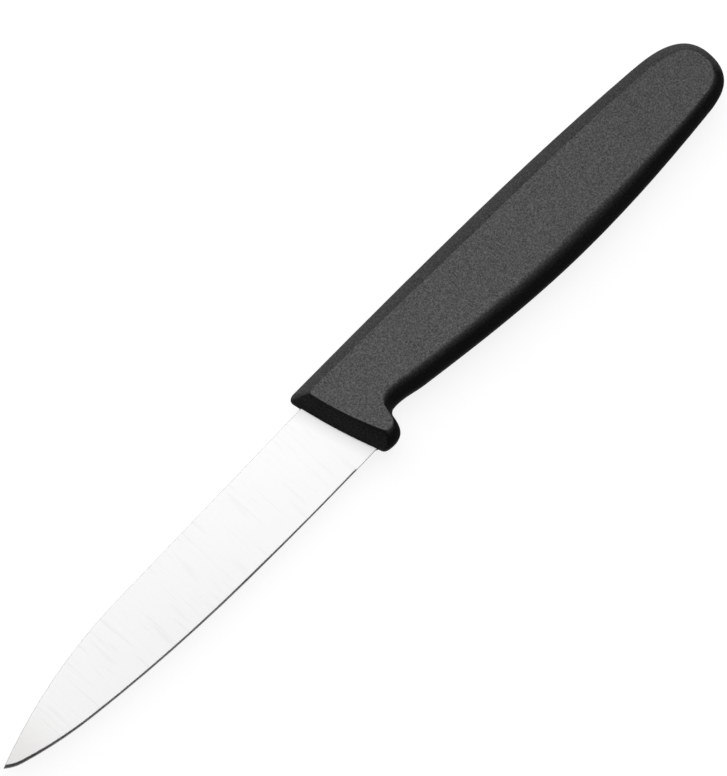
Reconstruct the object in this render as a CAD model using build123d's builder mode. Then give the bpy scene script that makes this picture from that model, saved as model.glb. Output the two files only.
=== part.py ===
from build123d import *
from math import cos, radians, sin, sqrt, tan
import os

# A paring knife lying on its right side: point towards -X, back of the blade towards +Y, left side up.
# Places along the knife are measured from the heel, where the edge meets the handle,
# and heights in the blade's plane from the level of the point. Lengths are in millimetres.

# The whole knife
blade_length = 100.0
handle_length = 108.35
handle_thickness = 10.5

# The blade's outline
spine_height = 10.45
spine_fall = 1.99
point_curve_length = 40.0
heel_depth = 6.55
belly_drop = 0.75
edge_length_shares = (0.38, 0.80, 0.965)
edge_depth_shares = (1.0, 0.70, 0.262)

# The blade's section: the sheet, ground flat to a thin wedge, and the sharpened edge
sheet_thickness = 1.4
ground_edge_thickness = 0.4
grind_point_rise = 5.0
grind_run_in = 1.5
grind_overrun = 2.0
bevel_angle = 20.0
blunt_heel_length = 6.2
bevel_heel_share = 0.5

# The tang inside the handle
tang_length_share = 0.72
tang_height = 5.2
tang_width = 8.8
tang_end_width = 6.8
tang_corner = 1.5
shoulder_inset = 2.8
key_hole_diameter = 4.6
key_hole_place_shares = (0.19, 0.5, 0.81)

# The handle's outline in the blade's plane: its back stands above the spine, and its guard below the heel
front_lean = 17.7
front_bulge = 0.44
corner_length = 1.6
corner_drop = 1.4
back_front_rise = 3.07
back_front_slope = 1.2
back_rise = 3.72
back_end_rise = 2.42
back_end_slope = -3.4
butt_height = 2.9
butt_bottom_depth = 4.7
butt_bottom_slope = 186.5
swell_depth = 7.31
neck_rear_depth = 3.95
neck_rear_slope = 173.0
neck_depth = 2.89
neck_place = 9.4
guard_drop = 1.94
guard_back_place = 6.57
guard_back_depth = 4.9
guard_back_slope = 262.0
lip_place = 3.3
lip_front_rise = 1.0
lip_front_slope = 115.0
crest_share = 0.45
back_end_share = 0.87
butt_bottom_share = 0.928
swell_share = 0.556
neck_rear_share = 0.153

# How far the flat sides' border lies inside that outline
front_high_rim = 2.9
front_low_rim = 3.45
border_bulge = 0.5
back_front_rim = 2.3
back_rim = 3.05
back_end_rim = 2.57
butt_rim = 2.6
butt_bottom_rim = 3.15
swell_rim = 4.7
neck_rear_rim = 3.9
neck_rim = 3.6
guard_back_rim = 1.7
guard_back_inset = 0.3
guard_rim = 3.1
lip_shift = 0.9
corner_shrink_share = 0.5

# The section of the rims: a soft round below and at the butt, a crisp dome at the front and the back
rim_height_share = 0.76
rim_arc = 84.0
rim_strips = 7
strip_section_shares = (0, 0.5, 1)
dome_angle = 48.5

# The flash where the blade leaves the mould
flash_length = 0.6
flash_height = 0.45
flash_root = 0.4

# The plane of the blade, with its origin level with the point and at the heel,
# set so that the knife's box is centred on the frame and rests on the ground
belly_depth = heel_depth + belly_drop
guard_depth = heel_depth + guard_drop
middle_length = (handle_length - blade_length) / 2
middle_height = (spine_height + back_rise - guard_depth) / 2
half_thickness = handle_thickness / 2
rim_height = rim_height_share * half_thickness
wall = half_thickness - rim_height
blade_plane = Plane((-middle_length, -middle_height, half_thickness))


def heading(angle):
    """The direction at an angle to the line from point to butt, in degrees."""
    return Vector(cos(radians(angle)), sin(radians(angle)))


def front_at(height):
    """The place of the handle's leaning front at a height."""
    return -(height + heel_depth) * tan(radians(front_lean))


def spine_at(place):
    """The height of the straight stretch of the blade's spine."""
    return spine_height + place * tan(radians(spine_fall))


def edge_arcs(blunt_share, inset, heel_inset):
    """The edge from a share of the heel's arc to the point, or the line an inset behind it.

    The edge is a long shallow belly, then arcs that sweep up to the point.
    """
    belly, upsweep, near_point = (
        Vector(-length * blade_length, -depth * belly_depth)
        for length, depth in zip(edge_length_shares, edge_depth_shares)
    )
    point = Vector(-blade_length, 0)
    heel_arc = TangentArc(belly, (0, -heel_depth), tangent=heading(0), mode=Mode.PRIVATE)
    first = TangentArc(belly, upsweep, tangent=heading(180), mode=Mode.PRIVATE)
    second = TangentArc(upsweep, near_point, tangent=first % 1, mode=Mode.PRIVATE)
    third = TangentArc(near_point, point, tangent=second % 1, mode=Mode.PRIVATE)
    sharp_start = heel_arc @ (1 - blunt_share)
    joints = (
        (sharp_start, -(heel_arc % (1 - blunt_share)), heel_inset),
        (belly, heading(180), inset),
        (upsweep, first % 1, inset),
        (near_point, second % 1, inset),
        (point, third % 1, inset),
    )
    for (start, leaving, behind), (end, arriving, end_behind) in zip(joints, joints[1:]):
        start_inset = leaving.rotate(Axis.Z, -90) * behind
        end_inset = arriving.rotate(Axis.Z, -90) * end_behind
        arc = TangentArc(start + start_inset, end + end_inset, tangent=leaving)
    return arc


def dome_depth(height):
    """How far the dome of the crisp rims falls back at a height above the blade's plane."""
    dome_radius = half_thickness / sin(radians(dome_angle))
    return dome_radius - sqrt(dome_radius**2 - height**2)


def section_at(level, soft):
    """The handle's section at a level above the blade's plane, where its soft rims have come in by a share.

    Its curves stay apart, so that each becomes a face of its own in the moulding.
    """
    crisp = dome_depth(level) / dome_depth(half_thickness)
    corner_scale = 1 - crisp * corner_shrink_share
    lip_height = soft * guard_rim - guard_depth
    low_height = lip_height + lip_front_rise * corner_scale
    start_height = spine_height + back_front_rise - crisp * back_front_rim
    high_height = start_height - corner_drop * corner_scale
    low = Vector(front_at(low_height) + crisp * front_low_rim, low_height)
    high = Vector(front_at(high_height) + crisp * front_high_rim, high_height)
    back_start = (high.X + corner_length * corner_scale, start_height)
    crest = (crest_share * handle_length, spine_height + back_rise - crisp * back_rim)
    back_end = (back_end_share * handle_length, spine_height + back_end_rise - crisp * back_end_rim)
    butt = (handle_length - soft * butt_rim, butt_height)
    butt_bottom = (butt_bottom_share * handle_length, soft * butt_bottom_rim - butt_bottom_depth)
    swell = (swell_share * handle_length, soft * swell_rim - swell_depth)
    neck_rear = (neck_rear_share * handle_length, soft * neck_rear_rim - neck_rear_depth)
    neck = (neck_place, soft * neck_rim - neck_depth)
    guard_back = (guard_back_place - soft * guard_back_inset, soft * guard_back_rim - guard_back_depth)
    lip = (lip_place + soft * lip_shift, lip_height)
    bulge = front_bulge + crisp * (border_bulge - front_bulge)
    bulge_point = (low + high) / 2 + (high - low).normalized().rotate(Axis.Z, 90) * bulge
    front = ThreePointArc(low, bulge_point, high)
    joints = (
        (high, front % 1),
        (back_start, heading(back_front_slope)),
        (crest, heading(0)),
        (back_end, heading(back_end_slope)),
        (butt, heading(270)),
        (butt_bottom, heading(butt_bottom_slope)),
        (swell, heading(180)),
        (neck_rear, heading(neck_rear_slope)),
        (neck, heading(180)),
        (guard_back, heading(guard_back_slope)),
        (lip, heading(180)),
        (low, heading(lip_front_slope)),
    )
    curves = [front]
    for (start, leaving), (end, arriving) in zip(joints, joints[1:]):
        curves.append(Spline(start, end, tangents=(leaving, arriving)))
    return blade_plane.offset(level) * Face(Wire(curves))


def rim_section(arc_share):
    """The handle's section at a share of the soft rims' arc, which ends just short of level."""
    arc = radians(arc_share * rim_arc)
    rise = sin(arc) / sin(radians(rim_arc))
    come_in = (1 - cos(arc)) / (1 - cos(radians(rim_arc)))
    return section_at(wall + rim_height * rise, come_in)


# The blade and its tang, cut from flat sheet, then ground and sharpened on this side and mirrored
with BuildPart() as blade:
    with BuildSketch(blade_plane):
        with BuildLine():
            edge_arcs(0, 0, 0)
            tang_length = tang_length_share * handle_length
            tang_low_front = (shoulder_inset, tang_height - tang_width / 2)
            tang_low_end = (tang_length, tang_height - tang_end_width / 2)
            tang_high_end = (tang_length, tang_height + tang_end_width / 2)
            shoulder_top_place = front_at(spine_height) + shoulder_inset
            knee_place = point_curve_length - blade_length
            knee = (knee_place, spine_at(knee_place))
            Polyline(
                (0, -heel_depth),
                (shoulder_inset, -heel_depth),
                tang_low_front,
                tang_low_end,
                tang_high_end,
                (shoulder_top_place, tang_height + tang_width / 2),
                (shoulder_top_place, spine_at(shoulder_top_place)),
                knee,
            )
            TangentArc(knee, (-blade_length, 0), tangent=heading(180 + spine_fall))
        make_face()
        tang_corners = ShapeList()
        for place in (tang_low_front, tang_low_end, tang_high_end):
            tang_corners += vertices().sort_by_distance(place)[:1]
        fillet(tang_corners, tang_corner)
        for place_share in key_hole_place_shares:
            with Locations((place_share * tang_length, tang_height)):
                Circle(key_hole_diameter / 2, mode=Mode.SUBTRACT)
    extrude(amount=sheet_thickness / 2)

    # The flat grind thins the blade evenly from the spine down to the edge, and more towards the point
    grind_slope = (sheet_thickness - ground_edge_thickness) / 2 / (spine_height + belly_depth)
    grind_low = -belly_depth - grind_overrun
    grind_top_at_point = spine_height + grind_point_rise
    for place, top in ((-blade_length - grind_overrun, grind_top_at_point), (grind_run_in, spine_height)):
        grind_end = blade_plane.from_local_coords((place, 0, 0))
        with BuildSketch(Plane(grind_end, x_dir=(0, 1, 0), z_dir=(1, 0, 0))):
            with BuildLine():
                Polyline(
                    (top, sheet_thickness / 2),
                    (grind_low, sheet_thickness / 2 - grind_slope * (top - grind_low)),
                    (grind_low, sheet_thickness / 2),
                    close=True,
                )
            make_face()
    loft(ruled=True, mode=Mode.SUBTRACT)

    # The bevel follows the edge, narrows towards the heel and stops short of it
    for level in (0, sheet_thickness):
        with BuildSketch(blade_plane.offset(level)):
            with BuildLine():
                blunt_share = blunt_heel_length / (edge_length_shares[0] * blade_length)
                inset = level / tan(radians(bevel_angle))
                last = edge_arcs(blunt_share, inset, inset * bevel_heel_share)
                beyond = last @ 1 + (last % 1) * grind_overrun
                Polyline(
                    last @ 1,
                    beyond,
                    (beyond.X - grind_overrun, grind_low),
                    (-blunt_heel_length, grind_low),
                )
                Line((-blunt_heel_length, grind_low), edges()[0] @ 0)
            make_face()
    loft(ruled=True, mode=Mode.SUBTRACT)
    mirror(about=blade_plane)
blade.part.label = "blade"

# The moulding, with its flash, closed round the tang and through the tang's holes:
# an upright wall next to the parting plane, then the rims in narrow strips that run on smoothly
with BuildPart() as handle:
    loft((section_at(0, 0), section_at(wall, 0)), ruled=True)
    for strip in range(rim_strips):
        loft([rim_section((strip + share) / rim_strips) for share in strip_section_shares])
    spine_root = front_at(spine_height) + flash_root
    spine_end = front_at(spine_height) - flash_length
    for root, end, crown, thickness in (
        ((spine_root, spine_at(spine_root)), (spine_end, spine_at(spine_end)), flash_height, sheet_thickness),
        ((flash_root, -heel_depth), (-flash_length, -heel_depth), -flash_height, ground_edge_thickness),
    ):
        with BuildSketch(blade_plane):
            with BuildLine():
                Polyline(root, (root[0], root[1] + crown), end, close=True)
            make_face()
        extrude(amount=thickness / 2)
    mirror(about=blade_plane)
    add(blade.part, mode=Mode.SUBTRACT)
handle.part.label = "handle"

os.makedirs("parts", exist_ok=True)
export_step(blade.part, "parts/blade.step")
export_step(handle.part, "parts/handle.step")
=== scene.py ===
import math

import bpy
from mathutils import Matrix, Vector


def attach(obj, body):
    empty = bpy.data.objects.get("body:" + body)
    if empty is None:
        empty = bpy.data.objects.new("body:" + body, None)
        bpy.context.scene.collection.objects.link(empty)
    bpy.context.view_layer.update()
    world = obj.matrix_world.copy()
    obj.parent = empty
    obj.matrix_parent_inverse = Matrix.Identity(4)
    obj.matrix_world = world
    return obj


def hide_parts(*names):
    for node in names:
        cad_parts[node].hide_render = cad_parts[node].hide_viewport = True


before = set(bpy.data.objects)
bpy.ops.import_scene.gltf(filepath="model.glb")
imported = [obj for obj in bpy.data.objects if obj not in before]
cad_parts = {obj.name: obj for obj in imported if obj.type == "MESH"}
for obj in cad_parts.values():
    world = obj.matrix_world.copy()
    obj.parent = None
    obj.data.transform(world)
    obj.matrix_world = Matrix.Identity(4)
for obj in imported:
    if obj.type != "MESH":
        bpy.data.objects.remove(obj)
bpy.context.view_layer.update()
bpy.ops.object.select_all(action="DESELECT")


# The blade: one sheet of stainless steel, ground flat on both sides by a wheel that leaves a satin
# of fine lines from spine to edge, with a deeper scratch here and there, then sharpened to a bevel
# on a finer wheel. Its tang runs on inside the handle, where it is never seen.

def node(tree, kind, place, values=(), **settings):
    """A shader node at a place on the sheet, with its settings and its inputs' values."""
    made = tree.nodes.new(kind)
    made.location = place
    for name, value in settings.items():
        setattr(made, name, value)
    for name, value in dict(values).items():
        made.inputs[name].default_value = value
    return made


def join(tree, *pairs):
    """Links outputs to inputs, given two by two."""
    for start, end in pairs:
        tree.links.new(start, end)


def ramp(tree, place, *stops):
    """A colour ramp through the grey levels or colours given at their shares."""
    made = node(tree, "ShaderNodeValToRGB", place)
    elements = made.color_ramp.elements
    elements.remove(elements[1])
    elements[0].position = stops[0][0]
    for share, color in stops:
        stop = elements[0] if share == stops[0][0] else elements.new(share)
        stop.color = (*color, 1.0) if isinstance(color, tuple) else (color, color, color, 1.0)
    return made


def new_material(name):
    """A material with a Principled BSDF and its output."""
    material = bpy.data.materials.new(name)
    material.use_nodes = True
    material.node_tree.nodes.clear()
    tree = material.node_tree
    skin = node(tree, "ShaderNodeBsdfPrincipled", (600, 0))
    end = node(tree, "ShaderNodeOutputMaterial", (900, 0))
    join(tree, (skin.outputs["BSDF"], end.inputs["Surface"]))
    return material, tree, skin


# places along the knife
blade_point = -0.1042
blade_heel = -0.004
# painted shade: the steel's colour is darkened in front of the moulding, square to its slanted
# front, for the moulding's shadow and its dark reflection in the steel
front_lean = math.radians(-17.7)
front_shade_start = -0.0101
front_line = -0.0069
front_shade = 0.82
# painted shade: the bevel's colour is darker the more it faces the edge's side, for the dark room
# it mirrors there
edge_side_start = -0.25
edge_side_full = -0.9
edge_shade = 0.3
# width, length and depth of the wheel's marks, with their lean from square to the spine
grind_lean = (0.0, 0.0, math.radians(3.5))
grind_line = (0.00021, 0.020, 0.020)
deep_scratch = (0.0007, 0.011, 0.011)
mark_tone_at_point = 0.945
mark_tone_at_heel = 0.975
mark_strength = 0.15
mark_depth = 0.00002
smooth_sheen = 0.305
rough_sheen = 0.325
steel_corner_round = 0.0003
# painted reflection: the steel's colours from the point to the heel, darker and warmer at the point
# and paler towards the heel, follow how the room's light falls along the blade
point_steel = (0.463, 0.461, 0.461)
warm_steel = (0.488, 0.483, 0.477)
belly_steel = (0.538, 0.537, 0.536)
middle_steel = 0.530
pale_steel = 0.545
heel_steel = 0.540

steel, tree, skin = new_material("satin_ground_steel")
place = node(tree, "ShaderNodeTexCoord", (-1700, 0))
facing = node(tree, "ShaderNodeNewGeometry", (-1700, 1100))
facing_parts = node(tree, "ShaderNodeSeparateXYZ", (-1450, 1100))
# painted shade: the bevel's colour darkens as it turns to face the edge's side
edge_side = node(
    tree, "ShaderNodeMapRange", (-950, 1100),
    {
        "From Min": edge_side_start, "From Max": edge_side_full,
        "To Min": 1.0, "To Max": edge_shade,
    },
)
by_front = node(
    tree, "ShaderNodeMapping", (-1450, 800), {"Rotation": (0.0, 0.0, front_lean)},
    vector_type="POINT",
)
front_parts = node(tree, "ShaderNodeSeparateXYZ", (-1200, 800))
# painted shade in the steel's colour, in front of the moulding
shade = node(
    tree, "ShaderNodeMapRange", (-950, 800),
    {"From Min": front_shade_start, "From Max": front_line, "To Min": 1.0, "To Max": front_shade},
)
shaded_side = node(tree, "ShaderNodeMath", (-700, 900), operation="MULTIPLY")
parts = node(tree, "ShaderNodeSeparateXYZ", (-1450, 500))
along = node(
    tree, "ShaderNodeMapRange", (-1200, 500), {"From Min": blade_point, "From Max": blade_heel}
)
# painted reflection: the steel's colour changes along the blade
tone = ramp(
    tree, (-950, 500),
    (0.0, point_steel), (0.06, warm_steel), (0.14, belly_steel),
    (0.45, middle_steel), (0.85, pale_steel), (1.0, heel_steel),
)
faint = node(
    tree, "ShaderNodeMapRange", (-950, 350),
    {"From Min": 0.3, "To Min": mark_tone_at_point, "To Max": mark_tone_at_heel},
)
across = node(
    tree, "ShaderNodeMapping", (-1450, 200), {"Rotation": grind_lean, "Scale": grind_line},
    vector_type="TEXTURE",
)
lines = node(
    tree, "ShaderNodeTexNoise", (-1200, 200), {"Scale": 1.0, "Detail": 2.0, "Roughness": 0.7}
)
far_across = node(
    tree, "ShaderNodeMapping", (-1450, -150), {"Rotation": grind_lean, "Scale": deep_scratch},
    vector_type="TEXTURE",
)
scratches = node(
    tree, "ShaderNodeTexNoise", (-1200, -150), {"Scale": 1.0, "Detail": 1.5, "Roughness": 0.5}
)
deep = node(tree, "ShaderNodeMapRange", (-950, -150), {"From Min": 0.40, "From Max": 0.30})
fine = node(tree, "ShaderNodeMapRange", (-950, 200), {"From Min": 0.25, "From Max": 0.52})
cut = node(tree, "ShaderNodeMapRange", (-700, -150), {"To Min": 1.0})
lined = node(tree, "ShaderNodeMath", (-450, 100), operation="MULTIPLY")
darkened = node(tree, "ShaderNodeMath", (-300, 250), operation="MULTIPLY")
rounded = node(tree, "ShaderNodeBevel", (0, -500), {"Radius": steel_corner_round}, samples=4)
shaded = node(
    tree, "ShaderNodeMix", (-200, 400), {"Factor": 1.0}, data_type="RGBA", blend_type="MULTIPLY"
)
sheen = node(
    tree, "ShaderNodeMapRange", (-450, -300),
    {"From Min": 0.3, "From Max": 0.7, "To Min": smooth_sheen, "To Max": rough_sheen},
)
scratch = node(
    tree, "ShaderNodeBump", (200, -300), {"Strength": mark_strength, "Distance": mark_depth}
)
skin.inputs["Metallic"].default_value = 1.0
join(
    tree,
    (place.outputs["Object"], parts.inputs["Vector"]),
    (parts.outputs["X"], along.inputs["Value"]),
    (along.outputs["Result"], tone.inputs["Fac"]),
    (along.outputs["Result"], faint.inputs["Value"]),
    (faint.outputs["Result"], fine.inputs["To Min"]),
    (faint.outputs["Result"], cut.inputs["To Max"]),
    (facing.outputs["Normal"], facing_parts.inputs["Vector"]),
    (facing_parts.outputs["Y"], edge_side.inputs["Value"]),
    (place.outputs["Object"], by_front.inputs["Vector"]),
    (by_front.outputs["Vector"], front_parts.inputs["Vector"]),
    (front_parts.outputs["X"], shade.inputs["Value"]),
    (edge_side.outputs["Result"], shaded_side.inputs[0]),
    (shade.outputs["Result"], shaded_side.inputs[1]),
    (place.outputs["Object"], across.inputs["Vector"]),
    (place.outputs["Object"], far_across.inputs["Vector"]),
    (across.outputs["Vector"], lines.inputs["Vector"]),
    (far_across.outputs["Vector"], scratches.inputs["Vector"]),
    (scratches.outputs["Fac"], deep.inputs["Value"]),
    (lines.outputs["Fac"], fine.inputs["Value"]),
    (deep.outputs["Result"], cut.inputs["Value"]),
    (fine.outputs["Result"], lined.inputs[0]),
    (cut.outputs["Result"], lined.inputs[1]),
    (tone.outputs["Color"], shaded.inputs[6]),
    (lined.outputs[0], darkened.inputs[0]),
    (shaded_side.outputs[0], darkened.inputs[1]),
    (darkened.outputs[0], shaded.inputs[7]),
    (lines.outputs["Fac"], sheen.inputs["Value"]),
    (lined.outputs[0], scratch.inputs["Height"]),
    (rounded.outputs["Normal"], scratch.inputs["Normal"]),
    (shaded.outputs[2], skin.inputs["Base Color"]),
    (sheen.outputs["Result"], skin.inputs["Roughness"]),
    (scratch.outputs["Normal"], skin.inputs["Normal"]),
)
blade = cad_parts["blade"]
blade.data.materials.clear()
blade.data.materials.append(steel)


# The handle: one black plastic moulding, shot round the tang. The mould's cheeks are spark eroded,
# which leaves a pebbled grain of paler specks on the plastic. Its colour holds painted light: the
# cheeks, the back and the butt are painted a lit grey as painted sheen, the rims are painted darker
# as painted shade, and a painted highlight runs along the cheek's border at the butt.

def new_group(name, inputs, outputs):
    """A shader node group with number inputs, each with its usual value, and number outputs."""
    group = bpy.data.node_groups.new(name, "ShaderNodeTree")
    group.interface.new_socket("Vector", in_out="INPUT", socket_type="NodeSocketVector")
    for label, usual in inputs:
        socket = group.interface.new_socket(label, in_out="INPUT", socket_type="NodeSocketFloat")
        socket.default_value = usual
    for label in outputs:
        group.interface.new_socket(label, in_out="OUTPUT", socket_type="NodeSocketFloat")
    return group, node(group, "NodeGroupInput", (-900, 0)), node(group, "NodeGroupOutput", (900, 0))


patches, given, result = new_group(
    "soft_patches", [("Size", 0.02), ("Low", 0.0), ("High", 1.0)], ["Mask"]
)
size = node(patches, "ShaderNodeMath", (-700, -200), operation="DIVIDE", values={0: 1.0})
cloud = node(
    patches, "ShaderNodeTexNoise", (-400, 0),
    {"Detail": 3.0, "Roughness": 0.55, "Distortion": 0.4},
)
spread = node(patches, "ShaderNodeMapRange", (-100, 0), {"From Min": 0.35, "From Max": 0.65})
join(
    patches,
    (given.outputs["Size"], size.inputs[1]),
    (given.outputs["Vector"], cloud.inputs["Vector"]),
    (size.outputs[0], cloud.inputs["Scale"]),
    (cloud.outputs["Fac"], spread.inputs["Value"]),
    (given.outputs["Low"], spread.inputs["To Min"]),
    (given.outputs["High"], spread.inputs["To Max"]),
    (spread.outputs["Result"], result.inputs["Mask"]),
)

same_spot = 0.000002
same_plane = math.radians(0.1)
crisp_border = math.radians(25)
border_round = 0.0002
# places along the knife
dimming_start = 0.01
swell_end = 0.05
butt_start = 0.09
dimming_end = 0.10
# painted light: how much of the lit grey shows where the surface faces the back, the butt and the
# front
back_painted_light = 0.8
butt_painted_light = 0.6
front_painted_light = 0.25
pebbles_per_metre = 2700.0
grit_per_metre = 3100.0
grit_share = 0.6
grain_strength = 0.4
grain_depth = 0.00006
wear_patch = 0.03
patch_tone = 0.95
butt_dimming = 0.79
rim_roughness = 0.8
cheek_roughness = 0.4
# the plastic's black, painted darker still as painted shade on the rims, and a lit grey copy of it
# as painted sheen on the cheeks, each with its paler specks
painted_shaded_plastic = (0.006, 0.006, 0.0061)
painted_shaded_speck = (0.014, 0.014, 0.0142)
painted_lit_plastic = (0.051, 0.051, 0.0521)
painted_lit_speck = (0.229, 0.229, 0.233)

handle_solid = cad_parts["handle"]
handle = handle_solid.copy()
handle.data = handle_solid.data.copy()
handle.name = "handle_moulding"
for key in list(handle.keys()):
    del handle[key]
handle.parent = None
bpy.context.collection.objects.link(handle)
bpy.context.view_layer.objects.active = handle
handle.select_set(True)
bpy.ops.object.mode_set(mode="EDIT")
bpy.ops.mesh.select_all(action="SELECT")
bpy.ops.mesh.remove_doubles(threshold=same_spot)
bpy.ops.mesh.customdata_custom_splitnormals_clear()
bpy.ops.mesh.dissolve_limited(angle_limit=same_plane)
bpy.ops.object.mode_set(mode="OBJECT")
bpy.ops.object.shade_smooth_by_angle(angle=crisp_border)
evened = handle.modifiers.new("flat_cheeks", "WEIGHTED_NORMAL")
evened.weight = 100
evened.keep_sharp = True
bpy.ops.object.modifier_apply(modifier=evened.name)
handle.select_set(False)

plastic, tree, skin = new_material("grained_black_plastic")
place = node(tree, "ShaderNodeTexCoord", (-1700, 0))
rounded = node(tree, "ShaderNodeBevel", (-1700, 500), {"Radius": border_round}, samples=4)
facing_parts = node(tree, "ShaderNodeSeparateXYZ", (-1450, 500))
level = node(tree, "ShaderNodeMath", (-1250, 500), operation="ABSOLUTE")
# painted sheen: the flatter the surface, the more of the lit grey it gets, and the turned rims keep
# the painted shade
flat = ramp(
    tree, (-1050, 500), (0.85, 0.0), (0.93, 0.12), (0.97, 0.35), (0.99, 0.72), (1.0, 1.0)
)
# painted light on the surfaces facing the back, the butt's end and the front
by_butt = node(
    tree, "ShaderNodeMapRange", (-1450, 1000),
    {"From Min": swell_end, "From Max": butt_start, "To Max": butt_painted_light},
)
butt_side = node(tree, "ShaderNodeMath", (-1250, 900), operation="MULTIPLY")
upper_side = node(tree, "ShaderNodeMath", (-1250, 750), {1: back_painted_light}, operation="MULTIPLY_ADD")
back = ramp(tree, (-1050, 750), (0.02, 0.0), (0.30, 0.36), (0.80, 0.74))
front = node(
    tree, "ShaderNodeMapRange", (-1050, 1000),
    {"From Min": -0.45, "From Max": -0.8, "To Max": front_painted_light},
)
broad = node(tree, "ShaderNodeMath", (-800, 900), operation="MAXIMUM")
lit_share = node(tree, "ShaderNodeMath", (-800, 750), operation="MAXIMUM")
pebbles = node(
    tree, "ShaderNodeTexVoronoi", (-1450, 200), {"Scale": pebbles_per_metre}, feature="F1"
)
grit = node(
    tree, "ShaderNodeTexNoise", (-1450, -100),
    {"Scale": grit_per_metre, "Detail": 1.0, "Roughness": 0.6},
)
mixed = node(tree, "ShaderNodeMix", (-1150, 100), {"Factor": grit_share}, data_type="FLOAT")
# the lit grey copy and the shaded black copy of the plastic, mixed by the painted light
specks = ramp(tree, (-800, 250), (0.24, painted_lit_plastic), (0.72, painted_lit_speck))
dark_specks = ramp(tree, (-800, 550), (0.32, painted_shaded_plastic), (0.62, painted_shaded_speck))
painted_plastic_tone = node(tree, "ShaderNodeMix", (-400, 400), data_type="RGBA")
patched = node(tree, "ShaderNodeGroup", (-900, -300), node_tree=patches)
patched.inputs["Size"].default_value = wear_patch
patched.inputs["Low"].default_value = patch_tone
patched.inputs["High"].default_value = 1.0
position = node(tree, "ShaderNodeSeparateXYZ", (-1450, -400))
# painted light: the lit grey fades darker from the guard towards the butt, in soft patches
dimmer_towards_butt = node(
    tree, "ShaderNodeMapRange", (-1150, -400),
    {"From Min": dimming_start, "From Max": dimming_end, "To Min": 1.0, "To Max": butt_dimming},
)
patches_and_dimming = node(tree, "ShaderNodeMath", (-700, -400), operation="MULTIPLY")
patched_lit_share = node(tree, "ShaderNodeMath", (-600, 750), operation="MULTIPLY")
# painted highlight: a paler line along the cheek's border at the upper side of the butt
border = ramp(tree, (-1050, 1250), (0.91, 0.0), (0.96, 1.0), (0.997, 1.0), (1.0, 0.6))
towards_butt = node(
    tree, "ShaderNodeMapRange", (-1050, 1500), {"From Min": 0.01, "From Max": 0.10}
)
above_middle = node(
    tree, "ShaderNodeMapRange", (-1050, 1750), {"From Min": -0.14, "From Max": -0.02}
)
upper_butt = node(tree, "ShaderNodeMath", (-900, 1600), operation="MULTIPLY")
painted_border_highlight = node(tree, "ShaderNodeMath", (-800, 1250), operation="MULTIPLY")
lit_or_highlighted = node(tree, "ShaderNodeMath", (-500, 900), operation="MAXIMUM")
dull = node(
    tree, "ShaderNodeMapRange", (-400, -200), {"To Min": rim_roughness, "To Max": cheek_roughness}
)
grain = node(
    tree, "ShaderNodeBump", (200, -300), {"Strength": grain_strength, "Distance": grain_depth}
)
skin.inputs["Specular IOR Level"].default_value = 0.05
join(
    tree,
    (place.outputs["Object"], pebbles.inputs["Vector"]),
    (place.outputs["Object"], grit.inputs["Vector"]),
    (place.outputs["Object"], patched.inputs["Vector"]),
    (rounded.outputs["Normal"], facing_parts.inputs["Vector"]),
    (facing_parts.outputs["Z"], level.inputs[0]),
    (level.outputs[0], flat.inputs["Fac"]),
    (pebbles.outputs["Distance"], mixed.inputs["A"]),
    (grit.outputs["Fac"], mixed.inputs["B"]),
    (mixed.outputs["Result"], specks.inputs["Fac"]),
    (mixed.outputs["Result"], dark_specks.inputs["Fac"]),
    (mixed.outputs["Result"], grain.inputs["Height"]),
    (rounded.outputs["Normal"], grain.inputs["Normal"]),
    (position.outputs["X"], by_butt.inputs["Value"]),
    (facing_parts.outputs["X"], butt_side.inputs[0]),
    (by_butt.outputs["Result"], butt_side.inputs[1]),
    (facing_parts.outputs["Y"], upper_side.inputs[0]),
    (butt_side.outputs[0], upper_side.inputs[2]),
    (upper_side.outputs[0], back.inputs["Fac"]),
    (facing_parts.outputs["X"], front.inputs["Value"]),
    (flat.outputs["Color"], broad.inputs[0]),
    (back.outputs["Color"], broad.inputs[1]),
    (broad.outputs[0], lit_share.inputs[0]),
    (front.outputs["Result"], lit_share.inputs[1]),
    (lit_share.outputs[0], patched_lit_share.inputs[0]),
    (place.outputs["Object"], position.inputs["Vector"]),
    (position.outputs["X"], dimmer_towards_butt.inputs["Value"]),
    (patched.outputs["Mask"], patches_and_dimming.inputs[0]),
    (dimmer_towards_butt.outputs["Result"], patches_and_dimming.inputs[1]),
    (patches_and_dimming.outputs[0], patched_lit_share.inputs[1]),
    (level.outputs[0], border.inputs["Fac"]),
    (butt_side.outputs[0], towards_butt.inputs["Value"]),
    (border.outputs["Color"], painted_border_highlight.inputs[0]),
    (facing_parts.outputs["Y"], above_middle.inputs["Value"]),
    (towards_butt.outputs["Result"], upper_butt.inputs[0]),
    (above_middle.outputs["Result"], upper_butt.inputs[1]),
    (upper_butt.outputs[0], painted_border_highlight.inputs[1]),
    (patched_lit_share.outputs[0], lit_or_highlighted.inputs[0]),
    (painted_border_highlight.outputs[0], lit_or_highlighted.inputs[1]),
    (lit_or_highlighted.outputs[0], painted_plastic_tone.inputs["Factor"]),
    (dark_specks.outputs["Color"], painted_plastic_tone.inputs[6]),
    (specks.outputs["Color"], painted_plastic_tone.inputs[7]),
    (painted_plastic_tone.outputs[2], skin.inputs["Base Color"]),
    (flat.outputs["Color"], dull.inputs["Value"]),
    (dull.outputs["Result"], skin.inputs["Roughness"]),
    (grain.outputs["Normal"], skin.inputs["Normal"]),
)
handle.data.materials.clear()
handle.data.materials.append(plastic)
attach(handle, "root")
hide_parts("handle")


# The table top: a wide pale board that the knife lies on, cut from one sheet and left plain. Seen
# directly or in the steel it is white, and it keeps the soft shadow of the knife.

table_width = 16.0
table_level = -0.00005
board_patch = 0.09
board_dark = 0.29
board_pale = 0.31
board_glow = 0.85

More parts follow.
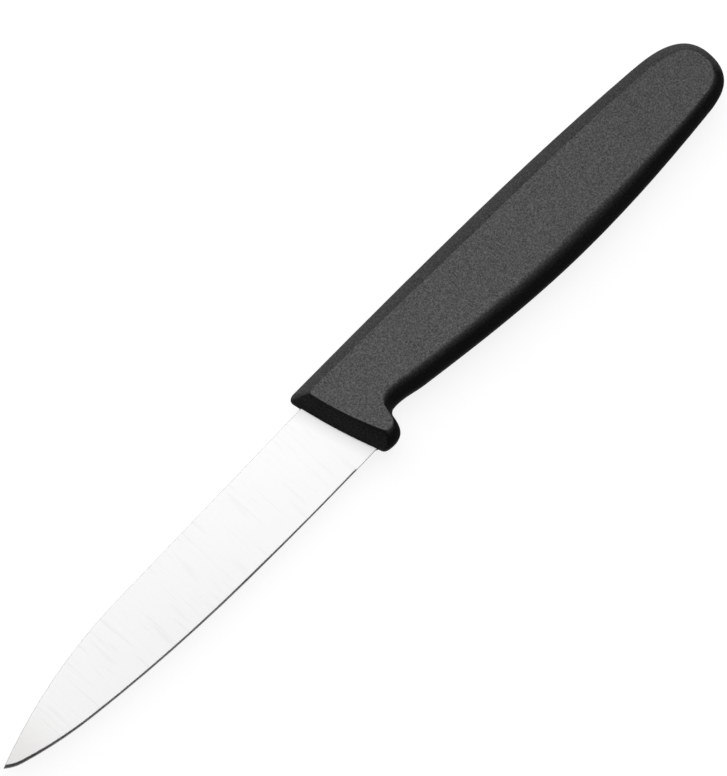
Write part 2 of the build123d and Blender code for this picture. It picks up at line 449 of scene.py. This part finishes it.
bpy.ops.mesh.primitive_plane_add(size=table_width, location=(0.0, 0.0, table_level))
table = bpy.context.object
table.name = "table_top"
table.select_set(False)
board, tree, skin = new_material("white_board")
place = node(tree, "ShaderNodeTexCoord", (-1200, 0))
mottle = node(tree, "ShaderNodeGroup", (-900, 0), node_tree=patches)
mottle.inputs["Size"].default_value = board_patch
mottle.inputs["Low"].default_value = board_dark
mottle.inputs["High"].default_value = board_pale
seen = node(tree, "ShaderNodeLightPath", (-600, -300))
looked_at = node(tree, "ShaderNodeMath", (-350, -300), operation="MAXIMUM")
seen_at_all = node(tree, "ShaderNodeMath", (-150, -300), operation="MAXIMUM")
glow = node(tree, "ShaderNodeMath", (50, -300), {1: board_glow}, operation="MULTIPLY")
skin.inputs["Roughness"].default_value = 0.9
skin.inputs["Specular IOR Level"].default_value = 0.0
join(
    tree,
    (place.outputs["Object"], mottle.inputs["Vector"]),
    (mottle.outputs["Mask"], skin.inputs["Base Color"]),
    (seen.outputs["Is Camera Ray"], looked_at.inputs[0]),
    (seen.outputs["Is Glossy Ray"], looked_at.inputs[1]),
    (looked_at.outputs[0], seen_at_all.inputs[0]),
    (seen.outputs["Is Transmission Ray"], seen_at_all.inputs[1]),
    (seen_at_all.outputs[0], glow.inputs[0]),
    (glow.outputs[0], skin.inputs["Emission Strength"]),
)
skin.inputs["Emission Color"].default_value = (1.0, 1.0, 1.0, 1.0)
table.data.materials.append(board)


# The light: one large soft box above the knife, behind its back. The room hardly lights the knife,
# but the steel mirrors it: a pale wall behind the knife's back, and beyond the edge a dark ceiling
# over a pale skirting.

softbox_place = (0.55, 1.00, 1.10)
softbox_width = 1.7
softbox_length = 2.4
softbox_watts = 22.0
# how pale each part of the room is, where 1 is white
wall_pale = 0.6
skirting_pale = 0.45
room_dim = 0.03
backdrop_pale = 0.92

bpy.ops.object.light_add(type="AREA", location=softbox_place)
softbox = bpy.context.object
softbox.name = "soft_box"
softbox.data.shape = "RECTANGLE"
softbox.data.size = softbox_width
softbox.data.size_y = softbox_length
softbox.data.energy = softbox_watts
softbox.select_set(False)
room = bpy.data.worlds.new("grey_room")
room.use_nodes = True
tree = room.node_tree
air = tree.nodes["Background"]
air.inputs["Color"].default_value = (1.0, 1.0, 1.0, 1.0)
place = node(tree, "ShaderNodeTexCoord", (-1200, 0))
parts = node(tree, "ShaderNodeSeparateXYZ", (-1000, 0))
wall = node(
    tree, "ShaderNodeMapRange", (-800, 0),
    {"From Min": -0.55, "From Max": 0.35, "To Max": wall_pale},
    interpolation_type="SMOOTHSTEP",
)
skirting = node(
    tree, "ShaderNodeMapRange", (-800, 250),
    {"From Min": 0.42, "From Max": 0.25, "To Max": skirting_pale},
    interpolation_type="SMOOTHSTEP",
)
pale = node(tree, "ShaderNodeMath", (-650, 100), operation="MAXIMUM")
seen = node(tree, "ShaderNodeLightPath", (-1000, -300))
mirrored = node(tree, "ShaderNodeMath", (-550, 0), {2: room_dim}, operation="MULTIPLY_ADD")
looked_at = node(tree, "ShaderNodeMath", (-800, -300), operation="MAXIMUM")
brightness = node(
    tree, "ShaderNodeMath", (-300, -100), {1: backdrop_pale}, operation="MULTIPLY_ADD"
)
join(
    tree,
    (place.outputs["Generated"], parts.inputs["Vector"]),
    (parts.outputs["Y"], wall.inputs["Value"]),
    (parts.outputs["Z"], skirting.inputs["Value"]),
    (wall.outputs["Result"], pale.inputs[0]),
    (skirting.outputs["Result"], pale.inputs[1]),
    (pale.outputs[0], mirrored.inputs[0]),
    (seen.outputs["Is Glossy Ray"], mirrored.inputs[1]),
    (seen.outputs["Is Camera Ray"], looked_at.inputs[0]),
    (seen.outputs["Is Transmission Ray"], looked_at.inputs[1]),
    (looked_at.outputs[0], brightness.inputs[0]),
    (mirrored.outputs[0], brightness.inputs[2]),
    (brightness.outputs[0], air.inputs["Strength"]),
)
bpy.context.scene.world = room


# The camera: a long lens nearly straight above the knife, tilted a little towards the point and the
# edge, and rolled so that the knife lies from the lower left corner to the upper right.

tilt_to_point = math.radians(9)
tilt_to_edge = math.radians(4)
roll = math.radians(-44.24)
camera_distance = 0.85
focal_pixels = 4134.6
frame_height = 776
sensor = 36.0
nearest_seen = 0.01
aim = Vector((0.002685, 0.001525, 0.00525))

backward = Vector((-math.tan(tilt_to_point), -math.tan(tilt_to_edge), 1.0)).normalized()
right = (Vector((1.0, 0.0, 0.0)) - backward * backward.x).normalized()
upright = Matrix((right, backward.cross(right), backward)).transposed()
bpy.ops.object.camera_add()
camera = bpy.context.object
camera.name = "camera"
camera.matrix_world = (
    Matrix.Translation(aim + backward * camera_distance)
    @ (Matrix.Rotation(roll, 3, backward) @ upright).to_4x4()
)
camera.data.sensor_width = sensor
camera.data.lens = sensor * focal_pixels / frame_height
camera.data.clip_start = nearest_seen
bpy.context.scene.camera = camera
camera.select_set(False)

bpy.context.scene.view_settings.view_transform = "Standard"
